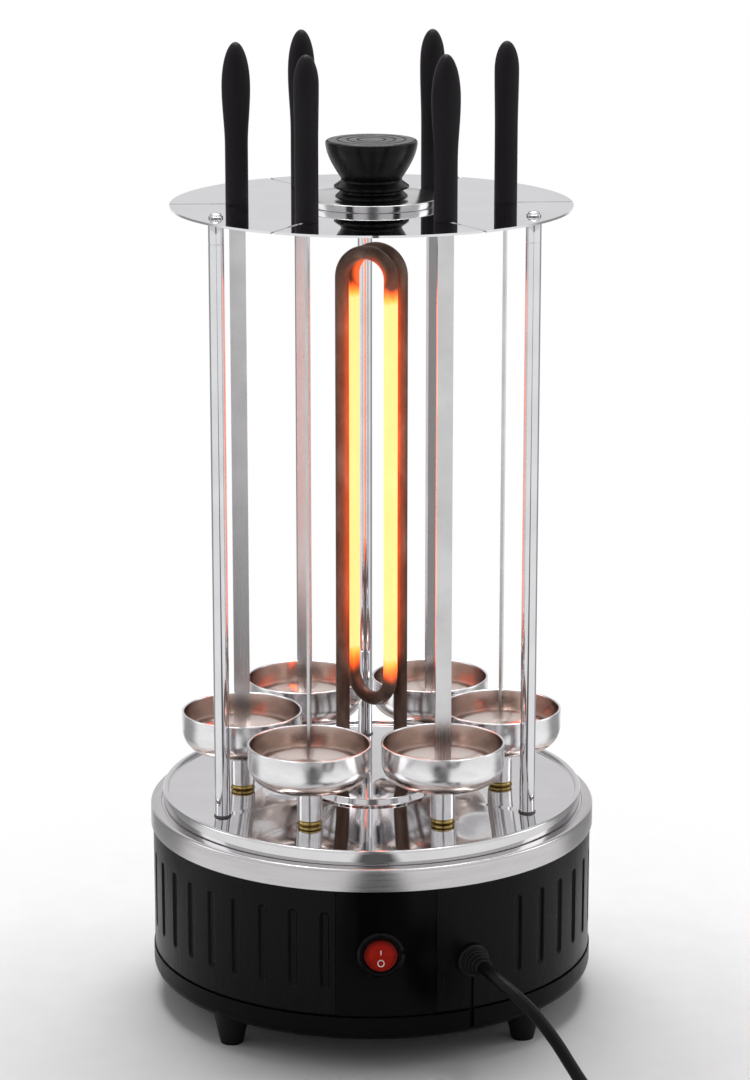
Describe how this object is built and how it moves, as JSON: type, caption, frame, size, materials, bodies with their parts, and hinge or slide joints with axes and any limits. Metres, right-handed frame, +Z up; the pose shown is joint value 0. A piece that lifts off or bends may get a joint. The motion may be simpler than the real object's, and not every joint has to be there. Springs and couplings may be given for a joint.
{
  "type": "electric skewer grill",
  "caption": "Upright table grill with turning skewers over drip bowls round a glowing looped heater, under a mirror plate on posts.",
  "frame": {"origin": "on the floor under the centre of the round base", "axes": "+Z up, -Y towards the front with the switch, +X to the right of a viewer in front"},
  "size_m": [0.2532, 0.4143, 0.5184],
  "materials": {
    "housing": "high gloss black",
    "panel": "high gloss black",
    "cover": "gloss black",
    "feet": "matte black",
    "screws": "zinc plated",
    "ring": "fine brushed",
    "tray": "mirror polished steel",
    "deck": "galvanised sheet",
    "posts": "polished steel",
    "seals": "matte black",
    "plate": "mirror polished steel",
    "knob": "black, turned rings",
    "disc": "polished steel",
    "heater": "brown oxidised, glowing in its middle bars",
    "ceramic": "off-white steatite",
    "bushes": "dark sintered bronze",
    "gears": "natural nylon",
    "pinion": "machined steel",
    "motor": "zinc plated can",
    "bezel": "gloss black",
    "rocker": "translucent red, lit",
    "block": "white polyamide",
    "cutout": "plain",
    "wires": "silicone sleeves",
    "relief": "satin black",
    "cord": "satin black",
    "plug": "satin black",
    "pins": "nickel plated",
    "spindles": "turned brass",
    "bowls": "satin brushed steel",
    "blades": "bright rolled steel",
    "handles": "matte black, heat resistant"
  },
  "bodies": {
    "base": {"base_housing": "housing", "control_panel": "panel", "bottom_cover": "cover", "feet": "feet", "cover_screws": "screws", "trim_ring": "ring", "drip_tray": "tray", "gear_deck": "deck", "deck_screws": "screws", "post_left": "posts", "post_right": "posts", "post_back": "posts", "post_seals": "seals", "post_nuts": "screws", "post_screws": "screws", "top_plate": "plate", "knob": "knob", "knob_disc": "disc", "knob_screw": "screws", "heater_element": "heater", "heater_insulators": "ceramic", "heater_bracket": "deck", "spindle_bushes": "bushes", "motor": "motor", "rocker_bezel": "bezel", "terminal_block": "block", "thermal_cutout": "cutout", "wiring": "wires", "strain_relief": "relief", "cord": "cord", "cord_coil": "cord", "plug": "plug", "plug_pins": "pins"},
    "drive_ring": {"drive_gear": "gears"},
    "pinion": {"motor_pinion": "pinion"},
    "switch_rocker": {"rocker": "rocker"},
    "spindle_body_1": {"spindle_1": "spindles"},
    "bowl_body_1": {"bowl_1": "bowls"},
    "skewer_body_1": {"skewer_blade_1": "blades", "skewer_handle_1": "handles"},
    "spindle_body_2": {"spindle_2": "spindles"},
    "bowl_body_2": {"bowl_2": "bowls"},
    "skewer_body_2": {"skewer_blade_2": "blades", "skewer_handle_2": "handles"},
    "spindle_body_3": {"spindle_3": "spindles"},
    "bowl_body_3": {"bowl_3": "bowls"},
    "skewer_body_3": {"skewer_blade_3": "blades", "skewer_handle_3": "handles"},
    "spindle_body_4": {"spindle_4": "spindles"},
    "bowl_body_4": {"bowl_4": "bowls"},
    "skewer_body_4": {"skewer_blade_4": "blades", "skewer_handle_4": "handles"},
    "spindle_body_5": {"spindle_5": "spindles"},
    "bowl_body_5": {"bowl_5": "bowls"},
    "skewer_body_5": {"skewer_blade_5": "blades", "skewer_handle_5": "handles"},
    "spindle_body_6": {"spindle_6": "spindles"},
    "bowl_body_6": {"bowl_6": "bowls"},
    "skewer_body_6": {"skewer_blade_6": "blades", "skewer_handle_6": "handles"}
  },
  "joints": [
    {"name": "drive_spin", "type": "hinge", "parent": "base", "child": "drive_ring", "pos_m": [0, 0, 0.0944], "axis": [0, 0, 1], "continuous": true},
    {"name": "pinion_spin", "type": "hinge", "parent": "base", "child": "pinion", "pos_m": [0, 0.064, 0.0944], "axis": [0, 0, 1], "continuous": true},
    {"name": "spindle_spin_1", "type": "hinge", "parent": "base", "child": "spindle_body_1", "pos_m": [-0.035, -0.06062, 0.0944], "axis": [0, 0, 1], "continuous": true},
    {"name": "bowl_lift_1", "type": "slide", "parent": "spindle_body_1", "child": "bowl_body_1", "axis": [0, 0, 1], "range_m": [0, 0.025]},
    {"name": "skewer_lift_1", "type": "slide", "parent": "spindle_body_1", "child": "skewer_body_1", "axis": [0, 0, 1], "range_m": [0, 0.05]},
    {"name": "spindle_spin_2", "type": "hinge", "parent": "base", "child": "spindle_body_2", "pos_m": [0.035, -0.06062, 0.0944], "axis": [0, 0, 1], "continuous": true},
    {"name": "bowl_lift_2", "type": "slide", "parent": "spindle_body_2", "child": "bowl_body_2", "axis": [0, 0, 1], "range_m": [0, 0.025]},
    {"name": "skewer_lift_2", "type": "slide", "parent": "spindle_body_2", "child": "skewer_body_2", "axis": [0, 0, 1], "range_m": [0, 0.05]},
    {"name": "spindle_spin_3", "type": "hinge", "parent": "base", "child": "spindle_body_3", "pos_m": [0.07, 0, 0.0944], "axis": [0, 0, 1], "continuous": true},
    {"name": "bowl_lift_3", "type": "slide", "parent": "spindle_body_3", "child": "bowl_body_3", "axis": [0, 0, 1], "range_m": [0, 0.025]},
    {"name": "skewer_lift_3", "type": "slide", "parent": "spindle_body_3", "child": "skewer_body_3", "axis": [0, 0, 1], "range_m": [0, 0.05]},
    {"name": "spindle_spin_4", "type": "hinge", "parent": "base", "child": "spindle_body_4", "pos_m": [0.035, 0.06062, 0.0944], "axis": [0, 0, 1], "continuous": true},
    {"name": "bowl_lift_4", "type": "slide", "parent": "spindle_body_4", "child": "bowl_body_4", "axis": [0, 0, 1], "range_m": [0, 0.025]},
    {"name": "skewer_lift_4", "type": "slide", "parent": "spindle_body_4", "child": "skewer_body_4", "axis": [0, 0, 1], "range_m": [0, 0.05]},
    {"name": "spindle_spin_5", "type": "hinge", "parent": "base", "child": "spindle_body_5", "pos_m": [-0.035, 0.06062, 0.0944], "axis": [0, 0, 1], "continuous": true},
    {"name": "bowl_lift_5", "type": "slide", "parent": "spindle_body_5", "child": "bowl_body_5", "axis": [0, 0, 1], "range_m": [0, 0.025]},
    {"name": "skewer_lift_5", "type": "slide", "parent": "spindle_body_5", "child": "skewer_body_5", "axis": [0, 0, 1], "range_m": [0, 0.05]},
    {"name": "spindle_spin_6", "type": "hinge", "parent": "base", "child": "spindle_body_6", "pos_m": [-0.07, 0, 0.0944], "axis": [0, 0, 1], "continuous": true},
    {"name": "bowl_lift_6", "type": "slide", "parent": "spindle_body_6", "child": "bowl_body_6", "axis": [0, 0, 1], "range_m": [0, 0.025]},
    {"name": "skewer_lift_6", "type": "slide", "parent": "spindle_body_6", "child": "skewer_body_6", "axis": [0, 0, 1], "range_m": [0, 0.05]},
    {"name": "rocker_tilt", "type": "hinge", "parent": "base", "child": "switch_rocker", "pos_m": [0, -0.1184, 0.0639], "axis": [1, 0, 0], "range_deg": [0, 16]}
  ],
  "couplings": [
    {"joint": "pinion_spin", "follows": "drive_spin", "ratio": -4.3333},
    {"joint": "spindle_spin_1", "follows": "drive_spin", "ratio": -2.8889},
    {"joint": "spindle_spin_2", "follows": "drive_spin", "ratio": -2.8889},
    {"joint": "spindle_spin_3", "follows": "drive_spin", "ratio": -2.8889},
    {"joint": "spindle_spin_4", "follows": "drive_spin", "ratio": -2.8889},
    {"joint": "spindle_spin_5", "follows": "drive_spin", "ratio": -2.8889},
    {"joint": "spindle_spin_6", "follows": "drive_spin", "ratio": -2.8889}
  ]
}
